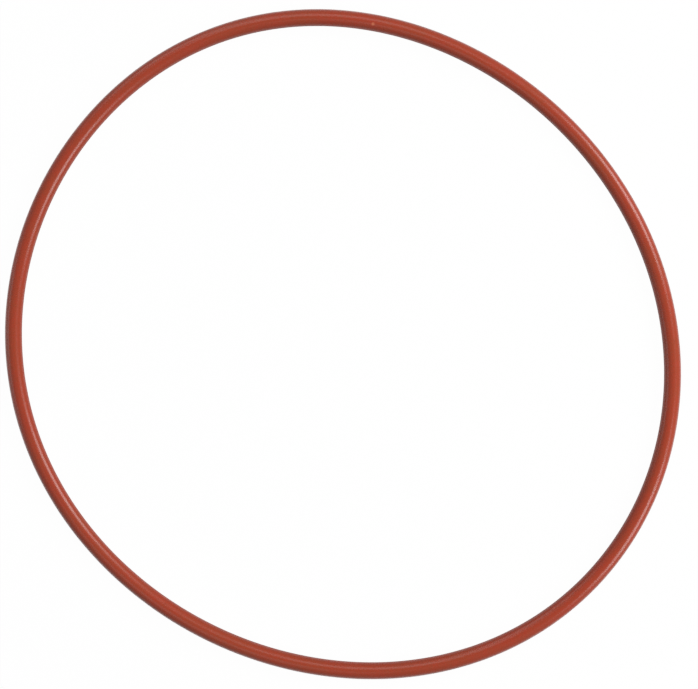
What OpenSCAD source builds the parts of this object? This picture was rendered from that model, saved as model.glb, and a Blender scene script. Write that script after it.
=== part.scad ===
// Cylinder head gasket of the O-ring kind: one ring of brick-red silicone rubber with a
// round section. It lies loose on a flat surface, so it is a little out of round.
// The origin is the middle of the ring, at half the height of its section. +Z is the
// ring's axis, and +X runs along its longer width, toward its sharper end.

/* [Ring] */
// Inside diameter of the ring when it is truly round
inside_d = 98; // [40:1:200]
// Diameter of the round section
section_d = 2.5; // [1.5:0.1:5]

/* [Mould line] */
// How far the mould line stands out of the section, inside and outside the ring
seam_out = 0.05; // [0.01:0.01:0.1]
// Height of the mould line, from its lower edge to its upper edge
seam_w = 0.12; // [0.06:0.02:0.2]

/* [Lie] */
// How far the two long ends stand out of the round ring, and the two sides fall in
oval_out = 1.82; // [0:0.01:2.5]
// How far the three ends of the egg shape stand out
egg_out = 0.37; // [0:0.01:0.6]
// Angle from +X to the middle end of the egg shape
egg_turn = 9; // [-60:1:60]
// How far the four corners of the squared shape stand out
square_out = 0.16; // [0:0.01:0.25]
// Angle from +X to the nearest corner of the squared shape
square_turn = -33; // [-45:1:45]

/* [Hidden] */
// Facets of a full circle in the preview
$fn = 96;

// Radius of the middle of the section when the ring is truly round
mean_r = (inside_d + section_d) / 2;

// The ring is a chain of round arcs, and each turns it by the same angle. Their number is
// a multiple of four, so that arcs meet at the ring's widest and longest points.
arcs = 24;
sweep = 360 / arcs;

// One wave of the ring's shape has some number of ends that stand out. A curve whose ends
// stand out bends tighter there, by (ends * ends - 1) times as much as they stand out.
// An arc holds one bend for its whole sweep, which would flatten the wave a little, and
// the last factor makes up for that.
function tighter(ends, out, turn, facing) =
    (ends * ends - 1) * out * cos(ends * (facing - turn))
        * (ends * sweep / 2) * (PI / 180) / sin(ends * sweep / 2);

// Radius of the ring's bend where its outside faces the given angle
function bend_r(facing) =
    mean_r
    - tighter(2, oval_out, 0, facing)
    - tighter(3, egg_out, egg_turn, facing)
    - tighter(4, square_out, square_turn, facing);

// Bend of each arc, taken at its middle. The waves cancel over a full turn, so the ring
// closes, and its length is that of the truly round ring.
arc_r = [for (i = [0:arcs - 1]) bend_r((i + 0.5) * sweep)];

// Unit vector at the given angle
function toward(facing) = [cos(facing), sin(facing), 0];

// Centre of arc i. Two neighbours share their tangent where they meet, so their centres
// lie on one line with that point.
function centre(i) =
    i == 0 ? [0, 0, 0] : centre(i - 1) + (arc_r[i - 1] - arc_r[i]) * toward(i * sweep);

// Point where arc i starts
function start(i) = centre(i) + arc_r[i] * toward(i * sweep);

// Middle of the ring's length and width
quarter = arcs / 4;
middle = [
    (start(0)[0] + start(2 * quarter)[0]) / 2,
    (start(quarter)[1] + start(3 * quarter)[1]) / 2,
    0
];

// Neighbouring arcs fuse only where they meet to a hair, so a place with many decimals is
// reached in two moves: whole steps of this length first, and then the small rest.
move_step = 0.01;
function whole_steps(v) = [for (x = v) round(x / move_step) * move_step];
module exact_move(v) {
    translate(whole_steps(v))
        translate(v - whole_steps(v))
            children();
}

// Round section with the mould line across its middle
module section() {
    circle(d = section_d);
    square([section_d + 2 * seam_out, seam_w], center = true);
}

// The ring, moulded in one piece
module o_ring() {
    color("#a23717")
        for (i = [0:arcs - 1])
            exact_move(centre(i) - middle)
                rotate_extrude(angle = sweep, start = i * sweep)
                    exact_move([arc_r[i], 0, 0])
                        section();
}

o_ring();
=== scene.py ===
"""Cylinder head gasket: one O-ring of brick-red silicone rubber, lying loose on a white table.

Lengths are metres and angles are radians, unless a name or a comment says otherwise. The ring's
axis is +Z, its longer width lies along +X, and the origin is the middle of its box.
"""
import logging
import math
from dataclasses import dataclass, field
from enum import Enum
from typing import Any, Mapping

import bpy
from mathutils import Matrix, Vector


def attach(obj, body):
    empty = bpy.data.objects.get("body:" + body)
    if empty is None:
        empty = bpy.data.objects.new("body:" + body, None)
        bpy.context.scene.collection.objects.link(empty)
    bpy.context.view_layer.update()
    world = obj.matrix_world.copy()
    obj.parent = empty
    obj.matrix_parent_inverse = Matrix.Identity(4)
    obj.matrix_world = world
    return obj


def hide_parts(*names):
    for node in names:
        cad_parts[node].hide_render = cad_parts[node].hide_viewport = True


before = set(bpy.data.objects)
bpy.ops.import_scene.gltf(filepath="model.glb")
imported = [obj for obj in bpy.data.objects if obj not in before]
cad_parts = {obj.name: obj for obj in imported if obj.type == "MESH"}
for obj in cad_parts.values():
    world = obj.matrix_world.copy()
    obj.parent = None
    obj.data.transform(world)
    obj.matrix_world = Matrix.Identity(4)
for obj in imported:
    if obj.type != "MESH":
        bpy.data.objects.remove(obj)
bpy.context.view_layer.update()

MM = 0.001
NOISE_LOW = 0.35     # a noise texture seldom leaves the range between these two
NOISE_HIGH = 0.65
SOCKET_KINDS = {
    float: "NodeSocketFloat",
    int: "NodeSocketInt",
    bpy.types.Material: "NodeSocketMaterial",
}

log = logging.getLogger("gasket")


class Body(Enum):
    """Rigid bodies of the frame that a piece can ride on."""

    ROOT = "root"


def linear(hex_colour: str) -> tuple[float, float, float, float]:
    """Turns an sRGB colour into the linear one that shaders take.

    Args:
        hex_colour: The colour as "#rrggbb".

    Returns:
        Linear red, green and blue, and an alpha of 1.
    """
    channels = [int(hex_colour[i:i + 2], 16) / 255 for i in (1, 3, 5)]
    red, green, blue = (
        c / 12.92 if c <= 0.04045 else ((c + 0.055) / 1.055) ** 2.4 for c in channels
    )
    return red, green, blue, 1.0


def add_node(
    tree: bpy.types.NodeTree,
    kind: str,
    inputs: Mapping[str | int, Any] | None = None,
    **settings: Any,
) -> Any:
    """Adds a node to a tree, with its settings, values and links.

    Args:
        tree: The shader or geometry tree.
        kind: The node's type, such as "ShaderNodeMath".
        inputs: Socket name or number, to a value or to the output socket that feeds it.
        **settings: The node's own properties, such as operation="MULTIPLY".

    Returns:
        The node's output sockets, which go by name or number.
    """
    node = tree.nodes.new(kind)
    for name, value in settings.items():
        setattr(node, name, value)
    for key, value in (inputs or {}).items():
        if isinstance(value, bpy.types.NodeSocket):
            tree.links.new(value, node.inputs[key])
        else:
            node.inputs[key].default_value = value
    return node.outputs


def new_material(name: str) -> tuple[bpy.types.Material, bpy.types.NodeTree]:
    """Makes a material with an empty node tree.

    Args:
        name: The material's name.

    Returns:
        The material and its tree.
    """
    material = bpy.data.materials.new(name)
    material.use_nodes = True
    material.node_tree.nodes.clear()
    return material, material.node_tree


def seen_directly(tree: bpy.types.NodeTree) -> bpy.types.NodeSocket:
    """Adds a test for the rays that see a surface, rather than being lit by it.

    Args:
        tree: The shader tree.

    Returns:
        A socket that is 1 for camera, mirrored and refracted rays, and 0 for the rest.
    """
    path = add_node(tree, "ShaderNodeLightPath")
    seen = path["Is Camera Ray"]
    for other in ("Is Glossy Ray", "Is Transmission Ray"):
        seen = add_node(tree, "ShaderNodeMath", {0: seen, 1: path[other]}, operation="MAXIMUM")[0]
    return seen


@dataclass(frozen=True)
class SiliconeRubber:
    """Brick-red silicone rubber, compression moulded in a fine-blasted steel mould.

    Iron oxide colours it right through, so it is opaque. Its skin is a satin: each lamp leaves one
    soft-edged stripe along the ring, and the red is faintly uneven where the oxide mixed in.
    """

    ruddy: str = "#a63518"        # where the oxide is richest
    rusty: str = "#9e3916"        # where there is more of the pale filler
    trimmed: str = "#a64c36"      # the mould line, scuffed when its flash was trimmed
    speck: str = "#ca6b4b"        # a clot of pale filler at the surface
    speck_core: float = 0.5       # of its half width: how far out its full colour goes
    speck_fade: float = 1.5       # of its half width: how far out the last of it goes
    ior: float = 1.41             # silicone rubber
    roughness: float = 0.28
    roughness_change: float = 0.02
    cloud: float = 6 * MM         # size of the patches of ruddier and rustier red
    mottle: float = 0.7 * MM      # size of the fine mottling
    grain: float = 0.12 * MM      # the mould's blasted grain, drawn coarser than its real 0.05 mm
    grain_height: float = 0.0015 * MM

    def make(self, mark: Vector, mark_size: float) -> bpy.types.Material:
        """Builds the material.

        Args:
            mark: Where the clot of pale filler lies, in object coordinates.
            mark_size: The clot's width.

        Returns:
            The silicone rubber material.
        """
        material, tree = new_material("silicone_rubber")
        place = add_node(tree, "ShaderNodeTexCoord")["Object"]
        cloud, mottle, grain = (
            add_node(
                tree,
                "ShaderNodeTexNoise",
                {"Vector": place, "Scale": 1 / size, "Detail": 2.0, "Roughness": 0.5},
            )["Fac"]
            for size in (self.cloud, self.mottle, self.grain)
        )
        mixed = add_node(tree, "ShaderNodeMath", {0: cloud, 1: mottle}, operation="ADD")[0]
        richness = add_node(
            tree,
            "ShaderNodeMapRange",
            {"Value": mixed, "From Min": 2 * NOISE_LOW, "From Max": 2 * NOISE_HIGH},
        )[0]
        red = add_node(
            tree,
            "ShaderNodeMix",
            {0: richness, 6: linear(self.rusty), 7: linear(self.ruddy)},
            data_type="RGBA",
        )[2]
        line = add_node(tree, "ShaderNodeAttribute", attribute_name="mould_line")["Fac"]
        red = add_node(
            tree, "ShaderNodeMix", {0: line, 6: red, 7: linear(self.trimmed)}, data_type="RGBA"
        )[2]
        away = add_node(
            tree, "ShaderNodeVectorMath", {0: place, 1: mark}, operation="DISTANCE"
        )["Value"]
        on_mark = add_node(
            tree,
            "ShaderNodeMapRange",
            {
                "Value": away,
                "From Min": mark_size / 2 * self.speck_core,
                "From Max": mark_size / 2 * self.speck_fade,
                "To Min": 1.0,
                "To Max": 0.0,
            },
            interpolation_type="SMOOTHSTEP",
        )[0]
        red = add_node(
            tree, "ShaderNodeMix", {0: on_mark, 6: red, 7: linear(self.speck)}, data_type="RGBA"
        )[2]
        rough = add_node(
            tree,
            "ShaderNodeMapRange",
            {
                "Value": mottle,
                "From Min": NOISE_LOW,
                "From Max": NOISE_HIGH,
                "To Min": self.roughness - self.roughness_change,
                "To Max": self.roughness + self.roughness_change,
            },
        )[0]
        bump = add_node(
            tree, "ShaderNodeBump", {"Height": grain, "Distance": self.grain_height}
        )[0]
        skin = add_node(
            tree,
            "ShaderNodeBsdfPrincipled",
            {
                "Base Color": red,
                "Roughness": rough,
                "IOR": self.ior,
                "Normal": bump,
            },
        )[0]
        add_node(tree, "ShaderNodeOutputMaterial", {"Surface": skin})
        return material


@dataclass(frozen=True)
class Wave:
    """One wave of a soft ring's outline, with ends that stand out evenly spaced round it."""

    name: str
    ends: int
    out: float          # how far each end stands out of the round ring
    turn: float = 0.0   # angle from +X to one of the ends


@dataclass
class ORing:
    """The ring, moulded in one piece, lying a little out of round."""

    inside_diameter: float = 98 * MM
    section_diameter: float = 2.5 * MM
    line_out: float = 0.05 * MM         # how far the mould line stands out of the section
    line_width: float = 0.12 * MM
    line_crest: float = 0.25            # of its width: how far from its middle its full height goes
    line_foot: float = 0.6              # of its width: how far from its middle it meets the skin
    line_wear: float = 0.2              # share of line_out that trimming took off in places
    line_wander: float = 1.5 * MM       # length along the ring over which the trimming varies
    waves: tuple[Wave, ...] = (
        Wave("Oval", 2, 1.82 * MM),
        Wave("Egg", 3, 0.37 * MM, math.radians(9)),
        Wave("Square", 4, 0.16 * MM, math.radians(-33)),
    )
    points_along: int = 720
    points_around: int = 128
    crowding: float = 0.7               # how much closer the points lie at the mould line
    mark_facing: float = math.radians(121.2)
    mark_up: float = math.radians(107)  # from the ring's outside, over its top
    mark_size: float = 0.45 * MM
    finish: SiliconeRubber = field(default_factory=SiliconeRubber)

    @property
    def mean_radius(self) -> float:
        """Radius of the middle of the section when the ring is truly round."""
        return (self.inside_diameter + self.section_diameter) / 2

    def reach(self, facing: float) -> float:
        """How far the middle of the section reaches out toward an angle, before centring."""
        return self.mean_radius + sum(
            wave.out * math.cos(wave.ends * (facing - wave.turn)) for wave in self.waves
        )

    def middle(self) -> Vector:
        """Middle of the ring's length and width, before centring."""
        quarter = math.pi / 2
        along = (self.reach(0) - self.reach(2 * quarter)) / 2
        across = (self.reach(quarter) - self.reach(3 * quarter)) / 2
        return Vector((along, across, 0))

    def skin_point(self, facing: float, up: float) -> Vector:
        """Finds a point on the ring's skin.

        Args:
            facing: Angle from +X to where the outside of the ring faces.
            up: Angle round the section, from its outside up over its top.

        Returns:
            The point.
        """
        slope = -sum(
            wave.ends * wave.out * math.sin(wave.ends * (facing - wave.turn))
            for wave in self.waves
        )
        radius = self.section_diameter / 2
        out = self.reach(facing) + radius * math.cos(up)
        turn = Matrix.Rotation(facing, 4, "Z")
        return turn @ Vector((out, slope, radius * math.sin(up))) - self.middle()

    def build(self) -> bpy.types.Object:
        """Sweeps the ring, dresses it and puts it in the frame.

        Returns:
            The ring, in place of the frame's own.
        """
        mark = self.skin_point(self.mark_facing, self.mark_up)
        inputs = self._sizes() | {"Material": self.finish.make(mark, self.mark_size)}
        tree = self._sweep(inputs)
        seed = bpy.data.objects.new("ring_sweep", bpy.data.meshes.new("ring_sweep"))
        bpy.context.scene.collection.objects.link(seed)
        modifier = seed.modifiers.new("sweep", "NODES")
        modifier.node_group = tree
        for item in tree.interface.items_tree:
            if item.in_out == "INPUT":
                modifier[item.identifier] = inputs[item.name]
        swept = seed.evaluated_get(bpy.context.evaluated_depsgraph_get())
        mesh = bpy.data.meshes.new_from_object(swept)
        mesh.name = "silicone_o_ring"
        bpy.data.objects.remove(seed)
        ring = bpy.data.objects.new("silicone_o_ring", mesh)
        bpy.context.scene.collection.objects.link(ring)
        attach(ring, Body.ROOT.value)
        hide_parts("o_ring")
        sizes = " x ".join(f"{side / MM:.3f}" for side in ring.dimensions)
        log.info("%s: %d faces, %s mm", ring.name, len(mesh.polygons), sizes)
        return ring

    def _sizes(self) -> dict[str, float | int]:
        """Names the sizes that the sweep takes.

        Returns:
            The name of each input of the sweep's tree, and this ring's value for it.
        """
        sizes = {
            "Mean radius": self.mean_radius,
            "Section radius": self.section_diameter / 2,
            "Line out": self.line_out,
            "Line width": self.line_width,
            "Line crest": self.line_crest,
            "Line foot": self.line_foot,
            "Line wear": self.line_wear,
            "Line wander": self.line_wander,
            "Points along": self.points_along,
            "Points around": self.points_around,
            "Crowding": self.crowding,
        }
        for wave in self.waves:
            sizes[f"{wave.name} ends"] = wave.ends
            sizes[f"{wave.name} out"] = wave.out
            sizes[f"{wave.name} turn"] = wave.turn
        return sizes

    def _sweep(self, inputs: Mapping[str, Any]) -> bpy.types.NodeTree:
        """Builds the tree that sweeps the section along the ring's centre line.

        Args:
            inputs: The name of each input that the tree gets, and a value of the input's type.

        Returns:
            The geometry tree.
        """
        tree = bpy.data.node_groups.new("ring_sweep", "GeometryNodeTree")
        tree.interface.new_socket("Geometry", in_out="OUTPUT", socket_type="NodeSocketGeometry")
        for name, value in inputs.items():
            kind = SOCKET_KINDS[type(value)]
            tree.interface.new_socket(name, in_out="INPUT", socket_type=kind)
        given = add_node(tree, "NodeGroupInput")

        path = self._path(tree, given)
        section = self._section(tree, given)
        tube = add_node(
            tree, "GeometryNodeCurveToMesh", {"Curve": path, "Profile Curve": section}
        )[0]
        lined = self._mould_line(tree, given, tube)
        smooth = add_node(tree, "GeometryNodeSetShadeSmooth", {"Geometry": lined})[0]
        real = add_node(tree, "GeometryNodeRealizeInstances", {"Geometry": smooth})[0]
        dressed = add_node(
            tree, "GeometryNodeSetMaterial", {"Geometry": real, "Material": given["Material"]}
        )[0]
        add_node(tree, "NodeGroupOutput", {"Geometry": dressed})
        return tree

    def _path(self, tree: bpy.types.NodeTree, given: Any) -> bpy.types.NodeSocket:
        """Adds the centre line, a closed curve that the waves push out of round.

        Each point is where the line that faces an angle touches the curve: it reaches out by the
        sum of the waves, and lies to the side by the slope of that sum.

        Args:
            tree: The geometry tree.
            given: The tree's inputs.

        Returns:
            The socket that carries the curve.
        """
        circle = add_node(
            tree, "GeometryNodeCurvePrimitiveCircle", {"Resolution": given["Points along"]}
        )["Curve"]
        facing = self._even_turn(tree, given["Points along"])
        reach = given["Mean radius"]
        slope = 0.0
        for wave in self.waves:
            ends = given[f"{wave.name} ends"]
            out = given[f"{wave.name} out"]
            turned = add_node(
                tree,
                "ShaderNodeMath",
                {0: facing, 1: given[f"{wave.name} turn"]},
                operation="SUBTRACT",
            )[0]
            phase = add_node(tree, "ShaderNodeMath", {0: turned, 1: ends}, operation="MULTIPLY")[0]
            rise = add_node(tree, "ShaderNodeMath", {0: phase}, operation="COSINE")[0]
            reach = add_node(
                tree, "ShaderNodeMath", {0: rise, 1: out, 2: reach}, operation="MULTIPLY_ADD"
            )[0]
            fall = add_node(tree, "ShaderNodeMath", {0: phase}, operation="SINE")[0]
            fall = add_node(tree, "ShaderNodeMath", {0: fall, 1: ends}, operation="MULTIPLY")[0]
            fall = add_node(tree, "ShaderNodeMath", {0: fall, 1: out}, operation="MULTIPLY")[0]
            slope = add_node(tree, "ShaderNodeMath", {0: slope, 1: fall}, operation="SUBTRACT")[0]
        before = add_node(tree, "ShaderNodeCombineXYZ", {"X": reach, "Y": slope})[0]
        point = add_node(
            tree,
            "ShaderNodeVectorRotate",
            {"Vector": before, "Angle": facing},
            rotation_type="Z_AXIS",
        )[0]
        placed = add_node(
            tree, "GeometryNodeSetPosition", {"Geometry": circle, "Position": point}
        )[0]
        box = add_node(tree, "GeometryNodeBoundBox", {"Geometry": placed})
        corners = add_node(tree, "ShaderNodeVectorMath", {0: box["Min"], 1: box["Max"]})[0]
        to_origin = add_node(
            tree, "ShaderNodeVectorMath", {0: corners, "Scale": -0.5}, operation="SCALE"
        )[0]
        centred = add_node(
            tree, "GeometryNodeSetPosition", {"Geometry": placed, "Offset": to_origin}
        )[0]
        return add_node(tree, "GeometryNodeSetCurveNormal", {"Curve": centred}, mode="Z_UP")[0]

    def _section(self, tree: bpy.types.NodeTree, given: Any) -> bpy.types.NodeSocket:
        """Adds the round section, which stores where the mould line runs.

        The points crowd together at the two mould lines, the only detail of the section.

        Args:
            tree: The geometry tree.
            given: The tree's inputs.

        Returns:
            The socket that carries the section's curve.
        """
        circle = add_node(
            tree, "GeometryNodeCurvePrimitiveCircle", {"Resolution": given["Points around"]}
        )["Curve"]
        even = self._even_turn(tree, given["Points around"])
        # around = even - crowding / 2 * sin(2 * even), so the points are 1 - crowding as far apart
        # at a mould line, and 1 + crowding at the top and the bottom
        double = add_node(tree, "ShaderNodeMath", {0: even, 1: 2.0}, operation="MULTIPLY")[0]
        shift = add_node(tree, "ShaderNodeMath", {0: double}, operation="SINE")[0]
        shift = add_node(
            tree, "ShaderNodeMath", {0: shift, 1: given["Crowding"]}, operation="MULTIPLY"
        )[0]
        around = add_node(
            tree, "ShaderNodeMath", {0: shift, 1: -0.5, 2: even}, operation="MULTIPLY_ADD"
        )[0]
        outward = add_node(tree, "ShaderNodeCombineXYZ", {"X": given["Section radius"]})[0]
        point = add_node(
            tree,
            "ShaderNodeVectorRotate",
            {"Vector": outward, "Angle": around},
            rotation_type="Z_AXIS",
        )[0]
        placed = add_node(
            tree, "GeometryNodeSetPosition", {"Geometry": circle, "Position": point}
        )[0]
        height = add_node(tree, "ShaderNodeSeparateXYZ", {0: point})["Y"]
        height = add_node(tree, "ShaderNodeMath", {0: height}, operation="ABSOLUTE")[0]
        in_widths = add_node(
            tree, "ShaderNodeMath", {0: height, 1: given["Line width"]}, operation="DIVIDE"
        )[0]
        ridge = add_node(
            tree,
            "ShaderNodeMapRange",
            {
                "Value": in_widths,
                "From Min": given["Line crest"],
                "From Max": given["Line foot"],
                "To Min": 1.0,
                "To Max": 0.0,
            },
            interpolation_type="SMOOTHSTEP",
        )[0]
        return add_node(
            tree,
            "GeometryNodeStoreNamedAttribute",
            {"Geometry": placed, "Name": "mould_line", "Value": ridge},
            data_type="FLOAT",
            domain="POINT",
        )[0]

    @staticmethod
    def _mould_line(
        tree: bpy.types.NodeTree, given: Any, tube: bpy.types.NodeSocket
    ) -> bpy.types.NodeSocket:
        """Raises the mould line out of the skin, lower where it was trimmed harder.

        Args:
            tree: The geometry tree.
            given: The tree's inputs.
            tube: The socket that carries the plain round tube.

        Returns:
            The socket that carries the tube with its mould line.
        """
        place = add_node(tree, "GeometryNodeInputPosition")[0]
        often = add_node(
            tree, "ShaderNodeMath", {0: 1.0, 1: given["Line wander"]}, operation="DIVIDE"
        )[0]
        wear = add_node(tree, "ShaderNodeTexNoise", {"Vector": place, "Scale": often})["Fac"]
        wear = add_node(
            tree, "ShaderNodeMath", {0: wear, 1: given["Line wear"]}, operation="MULTIPLY"
        )[0]
        left = add_node(tree, "ShaderNodeMath", {0: 1.0, 1: wear}, operation="SUBTRACT")[0]
        line = add_node(
            tree, "GeometryNodeInputNamedAttribute", {"Name": "mould_line"}, data_type="FLOAT"
        )["Attribute"]
        height = add_node(
            tree, "ShaderNodeMath", {0: line, 1: given["Line out"]}, operation="MULTIPLY"
        )[0]
        height = add_node(tree, "ShaderNodeMath", {0: height, 1: left}, operation="MULTIPLY")[0]
        outward = add_node(tree, "GeometryNodeInputNormal")["Normal"]
        raised = add_node(
            tree, "ShaderNodeVectorMath", {0: outward, "Scale": height}, operation="SCALE"
        )[0]
        return add_node(
            tree, "GeometryNodeSetPosition", {"Geometry": tube, "Offset": raised}
        )[0]

    @staticmethod
    def _even_turn(
        tree: bpy.types.NodeTree, points: bpy.types.NodeSocket
    ) -> bpy.types.NodeSocket:
        """Adds the angle of each point of an even circle.

        Args:
            tree: The geometry tree.
            points: How many points the circle has.

        Returns:
            The socket that carries the angle.
        """
        index = add_node(tree, "GeometryNodeInputIndex")[0]
        share = add_node(tree, "ShaderNodeMath", {0: index, 1: points}, operation="DIVIDE")[0]
        return add_node(tree, "ShaderNodeMath", {0: share, 1: math.tau}, operation="MULTIPLY")[0]


@dataclass(frozen=True)
class WhiteTable:
    """A matt white laminate table top, lit past white, that keeps a trace of the ring's shadow."""

    grey: str = "#707070"         # what it sends back to the ring
    shadow: float = 0.12          # how much of the shadow shows
    side: float = 4.0

    def make(self) -> bpy.types.Material:
        """Builds the laminate.

        Returns:
            The table's material, white to the eye and in reflections.
        """
        material, tree = new_material("white_laminate")
        matt = add_node(tree, "ShaderNodeBsdfDiffuse", {"Color": linear(self.grey)})[0]
        # a table lit at the plain level comes out just white
        glow = (1 - self.shadow * linear(self.grey)[0]) / (1 - self.shadow)
        white = add_node(tree, "ShaderNodeEmission", {"Strength": glow})[0]
        seen = add_node(tree, "ShaderNodeMixShader", {0: self.shadow, 1: white, 2: matt})[0]
        look = add_node(tree, "ShaderNodeMixShader", {0: seen_directly(tree), 1: matt, 2: seen})[0]
        add_node(tree, "ShaderNodeOutputMaterial", {"Surface": look})
        return material

    def lay(self, height: float) -> None:
        """Lays the table under the ring.

        Args:
            height: Height of its top.
        """
        half = self.side / 2
        corners = [(x * half, y * half, height) for x, y in ((-1, -1), (1, -1), (1, 1), (-1, 1))]
        mesh = bpy.data.meshes.new("table")
        mesh.from_pydata(corners, [], [(0, 1, 2, 3)])
        mesh.materials.append(self.make())
        table = bpy.data.objects.new("table", mesh)
        bpy.context.scene.collection.objects.link(table)


@dataclass(frozen=True)
class Sky:
    """The room: white to the eye, and a dim even light on the ring."""

    light: float = 0.05

    def hang(self) -> None:
        """Puts the sky round the scene."""
        world = bpy.data.worlds.new("sky")
        world.use_nodes = True
        tree = world.node_tree
        tree.nodes.clear()
        strength = add_node(
            tree, "ShaderNodeMapRange", {"Value": seen_directly(tree), "To Min": self.light}
        )[0]
        white = add_node(
            tree, "ShaderNodeBackground", {"Color": (1, 1, 1, 1), "Strength": strength}
        )[0]
        add_node(tree, "ShaderNodeOutputWorld", {"Surface": white})
        bpy.context.scene.world = world


@dataclass(frozen=True)
class Softbox:
    """A lamp with a soft oblong face, aimed at the middle of the ring."""

    name: str
    azimuth: float      # degrees anticlockwise from the picture's right
    elevation: float    # degrees above the table
    width: float
    height: float
    power: float        # watts
    distance: float = 0.6

    def hang(self, turn: float) -> None:
        """Hangs the lamp.

        Args:
            turn: Angle from +X to the picture's right.
        """
        light = bpy.data.lights.new(self.name, "AREA")
        light.shape = "RECTANGLE"
        light.size = self.width
        light.size_y = self.height
        light.energy = self.power
        lamp = bpy.data.objects.new(self.name, light)
        bpy.context.scene.collection.objects.link(lamp)
        azimuth = math.radians(self.azimuth) + turn
        elevation = math.radians(self.elevation)
        outward = Vector((math.cos(azimuth), math.sin(azimuth), 0)) * math.cos(elevation)
        away = outward + Vector((0, 0, math.sin(elevation)))
        lamp.location = away * self.distance
        lamp.rotation_euler = away.to_track_quat("Z", "Y").to_euler()
        lamp.visible_camera = False


@dataclass(frozen=True)
class Overhead:
    """The camera, looking straight down on the ring."""

    turn: float = math.radians(41.43)    # from +X to the picture's right
    picture_width: float = 107.08 * MM   # how much of the table the picture spans
    right: float = 0.74 * MM             # from the ring's middle to the picture's
    up: float = 0.66 * MM
    lens: float = 120.0                  # millimetres
    sensor: float = 36.0                 # millimetres
    nearest: float = 0.01
    farthest: float = 20.0

    def hang(self) -> None:
        """Hangs the camera and looks through it."""
        data = bpy.data.cameras.new("overhead")
        data.lens = self.lens
        data.sensor_width = self.sensor
        data.clip_start = self.nearest
        data.clip_end = self.farthest
        camera = bpy.data.objects.new("overhead", data)
        bpy.context.scene.collection.objects.link(camera)
        height = self.picture_width * self.lens / self.sensor
        camera.location = Matrix.Rotation(self.turn, 3, "Z") @ Vector((self.right, self.up, height))
        camera.rotation_euler = (0, 0, self.turn)
        bpy.context.scene.camera = camera


@dataclass
class Studio:
    """Everything round the ring: the table, the sky, the lamps and the camera."""

    table: WhiteTable = field(default_factory=WhiteTable)
    sky: Sky = field(default_factory=Sky)
    camera: Overhead = field(default_factory=Overhead)
    lamps: tuple[Softbox, ...] = (
        Softbox("right_upper", 30, 34, 0.20, 0.32, 2.05),
        Softbox("right_lower", 330, 34, 0.20, 0.32, 1.70),
        Softbox("top", 90, 55, 0.30, 0.30, 0.55),
        Softbox("top_left", 120, 30, 0.30, 0.30, 0.45),
        Softbox("left", 180, 15, 0.30, 0.30, 0.35),
        Softbox("bottom_left", 240, 60, 0.30, 0.30, 0.25),
    )

    def build(self, floor_z: float) -> None:
        """Builds the whole studio.

        Args:
            floor_z: Height of the table's top.
        """
        bpy.context.scene.view_settings.view_transform = "Standard"
        self.table.lay(floor_z)
        self.sky.hang()
        self.camera.hang()
        for lamp in self.lamps:
            lamp.hang(self.camera.turn)
        log.info("studio: %d lamps", len(self.lamps))


def main() -> None:
    """Builds the ring and the studio round it."""
    logging.basicConfig(level=logging.INFO, format="%(name)s: %(message)s")
    ring = ORing()
    ring.build()
    Studio().build(floor_z=-ring.section_diameter / 2)


if __name__ == "__main__":
    main()
